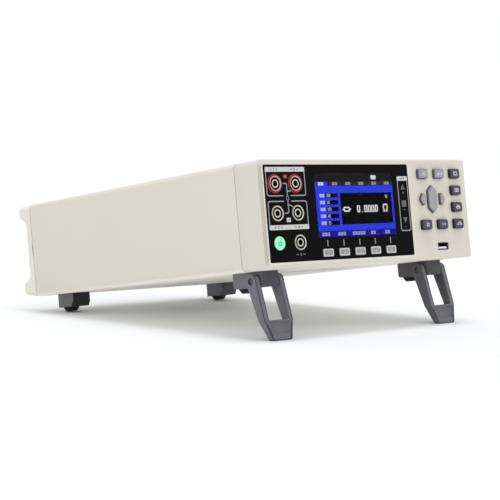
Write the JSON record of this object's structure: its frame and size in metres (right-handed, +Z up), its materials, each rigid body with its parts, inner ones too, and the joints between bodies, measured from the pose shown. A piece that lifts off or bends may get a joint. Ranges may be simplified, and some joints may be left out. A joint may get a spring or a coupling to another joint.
{
  "type": "micro-ohmmeter",
  "caption": "Bench micro-ohmmeter with a lit display, four-wire test sockets, soft keys and a keypad, leaning back on two fold-out tilt legs.",
  "frame": {"origin": "middle of the outline on the table that the instrument stands on, legs unfolded", "axes": "+Z up, +Y towards the rear, +X to the right seen from the front; the case leans back by about 7.4 degrees, so its own depth axis points down to the rear"},
  "size_m": [0.252, 0.369, 0.1492],
  "materials": {
    "case_plastic": "satin",
    "panel_black": "satin",
    "window": "clear",
    "tin": "satin",
    "screen": "lit",
    "red_plastic": "satin",
    "ivory_plastic": "satin",
    "plated_brass": "bright",
    "wire_red": "matte",
    "mint_button": "satin",
    "silver_key": "satin",
    "grey_key": "satin",
    "dark_key": "satin",
    "board_green": "satin",
    "black_plastic": "matte",
    "white_plastic": "satin",
    "sleeve_coat": "powder coated",
    "steel_plate": "satin",
    "foot_grey": "satin",
    "pad_rubber": "matte",
    "laminated_steel": "satin",
    "anodised_black": "satin",
    "brass": "satin",
    "component_grey": "satin"
  },
  "bodies": {
    "case": {"front_bezel": "case_plastic", "front_overlay": "panel_black", "display_window": "window", "lcd_module": "tin", "lcd_screen": "screen", "socket_drive_high": "red_plastic", "socket_sense_high": "red_plastic", "socket_drive_low": "ivory_plastic", "socket_sense_low": "ivory_plastic", "socket_guard": "ivory_plastic", "socket_contacts": "plated_brass", "socket_nuts": "plated_brass", "socket_leads": "wire_red", "rocker_pin": "steel_plate", "front_board": "board_green", "key_switches": "black_plastic", "front_screws": "steel_plate", "usb_shell": "tin", "usb_tongue": "white_plastic", "sleeve": "sleeve_coat", "bottom_plate": "steel_plate", "rear_bumper": "case_plastic", "rear_panel": "steel_plate", "front_foot_left": "foot_grey", "front_foot_right": "foot_grey", "rear_foot_left": "foot_grey", "rear_foot_right": "foot_grey", "leg_pins": "steel_plate", "foot_pads": "pad_rubber", "main_board": "board_green", "board_standoffs": "brass", "board_parts": "component_grey", "transformer": "laminated_steel", "heat_sink": "anodised_black", "mains_inlet": "black_plastic", "inlet_pins": "plated_brass", "earth_terminal": "brass", "serial_port": "tin", "handler_port": "tin", "case_screws": "steel_plate"},
    "escape_key": {"escape_key": "grey_key"},
    "enter_key": {"enter_key": "grey_key"},
    "page_key": {"page_key": "dark_key"},
    "compare_key": {"compare_key": "dark_key"},
    "lock_key": {"lock_key": "dark_key"},
    "zero_key": {"zero_key": "dark_key"},
    "hold_key": {"hold_key": "dark_key"},
    "trigger_key": {"trigger_key": "dark_key"},
    "left_key": {"left_key": "grey_key"},
    "right_key": {"right_key": "grey_key"},
    "function_key_1": {"function_key_1": "silver_key"},
    "function_key_2": {"function_key_2": "silver_key"},
    "function_key_3": {"function_key_3": "silver_key"},
    "function_key_4": {"function_key_4": "silver_key"},
    "function_key_5": {"function_key_5": "silver_key"},
    "power_button": {"power_button": "mint_button"},
    "up_down_rocker": {"up_down_rocker": "grey_key"},
    "tilt_leg_left": {"tilt_leg_left": "foot_grey"},
    "tilt_leg_right": {"tilt_leg_right": "foot_grey"},
    "fuse_drawer": {"fuse_drawer": "black_plastic"}
  },
  "joints": [
    {"name": "escape_key_press", "type": "slide", "parent": "case", "child": "escape_key", "axis": [0, 0.9917, -0.1288], "range_m": [0, 0.0008], "stiffness_N_per_m": 1200, "springref_m": -0.0005},
    {"name": "enter_key_press", "type": "slide", "parent": "case", "child": "enter_key", "axis": [0, 0.9917, -0.1288], "range_m": [0, 0.0008], "stiffness_N_per_m": 1200, "springref_m": -0.0005},
    {"name": "page_key_press", "type": "slide", "parent": "case", "child": "page_key", "axis": [0, 0.9917, -0.1288], "range_m": [0, 0.0008], "stiffness_N_per_m": 1200, "springref_m": -0.0005},
    {"name": "compare_key_press", "type": "slide", "parent": "case", "child": "compare_key", "axis": [0, 0.9917, -0.1288], "range_m": [0, 0.0008], "stiffness_N_per_m": 1200, "springref_m": -0.0005},
    {"name": "lock_key_press", "type": "slide", "parent": "case", "child": "lock_key", "axis": [0, 0.9917, -0.1288], "range_m": [0, 0.0008], "stiffness_N_per_m": 1200, "springref_m": -0.0005},
    {"name": "zero_key_press", "type": "slide", "parent": "case", "child": "zero_key", "axis": [0, 0.9917, -0.1288], "range_m": [0, 0.0008], "stiffness_N_per_m": 1200, "springref_m": -0.0005},
    {"name": "hold_key_press", "type": "slide", "parent": "case", "child": "hold_key", "axis": [0, 0.9917, -0.1288], "range_m": [0, 0.0008], "stiffness_N_per_m": 1200, "springref_m": -0.0005},
    {"name": "trigger_key_press", "type": "slide", "parent": "case", "child": "trigger_key", "axis": [0, 0.9917, -0.1288], "range_m": [0, 0.0008], "stiffness_N_per_m": 1200, "springref_m": -0.0005},
    {"name": "left_key_press", "type": "slide", "parent": "case", "child": "left_key", "axis": [0, 0.9917, -0.1288], "range_m": [0, 0.0008], "stiffness_N_per_m": 1200, "springref_m": -0.0005},
    {"name": "right_key_press", "type": "slide", "parent": "case", "child": "right_key", "axis": [0, 0.9917, -0.1288], "range_m": [0, 0.0008], "stiffness_N_per_m": 1200, "springref_m": -0.0005},
    {"name": "function_key_1_press", "type": "slide", "parent": "case", "child": "function_key_1", "axis": [0, 0.9917, -0.1288], "range_m": [0, 0.0008], "stiffness_N_per_m": 1200, "springref_m": -0.0005},
    {"name": "function_key_2_press", "type": "slide", "parent": "case", "child": "function_key_2", "axis": [0, 0.9917, -0.1288], "range_m": [0, 0.0008], "stiffness_N_per_m": 1200, "springref_m": -0.0005},
    {"name": "function_key_3_press", "type": "slide", "parent": "case", "child": "function_key_3", "axis": [0, 0.9917, -0.1288], "range_m": [0, 0.0008], "stiffness_N_per_m": 1200, "springref_m": -0.0005},
    {"name": "function_key_4_press", "type": "slide", "parent": "case", "child": "function_key_4", "axis": [0, 0.9917, -0.1288], "range_m": [0, 0.0008], "stiffness_N_per_m": 1200, "springref_m": -0.0005},
    {"name": "function_key_5_press", "type": "slide", "parent": "case", "child": "function_key_5", "axis": [0, 0.9917, -0.1288], "range_m": [0, 0.0008], "stiffness_N_per_m": 1200, "springref_m": -0.0005},
    {"name": "power_button_press", "type": "slide", "parent": "case", "child": "power_button", "axis": [0, 0.9917, -0.1288], "range_m": [0, 0.0008], "stiffness_N_per_m": 1200, "springref_m": -0.0005},
    {"name": "rocker_tip", "type": "hinge", "parent": "case", "child": "up_down_rocker", "pos_m": [0.0781, -0.17312, 0.11291], "axis": [1, 0, 0], "range_deg": [-2.5, 2.5], "stiffness_Nm_per_rad": 0.2},
    {"name": "left_leg_fold", "type": "hinge", "parent": "case", "child": "tilt_leg_left", "pos_m": [-0.1009, -0.15414, 0.04782], "axis": [1, 0, 0], "range_deg": [0, 101]},
    {"name": "right_leg_fold", "type": "hinge", "parent": "case", "child": "tilt_leg_right", "pos_m": [0.1009, -0.15414, 0.04782], "axis": [1, 0, 0], "range_deg": [0, 101]},
    {"name": "fuse_drawer_pull", "type": "slide", "parent": "case", "child": "fuse_drawer", "axis": [0, 0.9917, -0.1288], "range_m": [0, 0.018]}
  ]
}
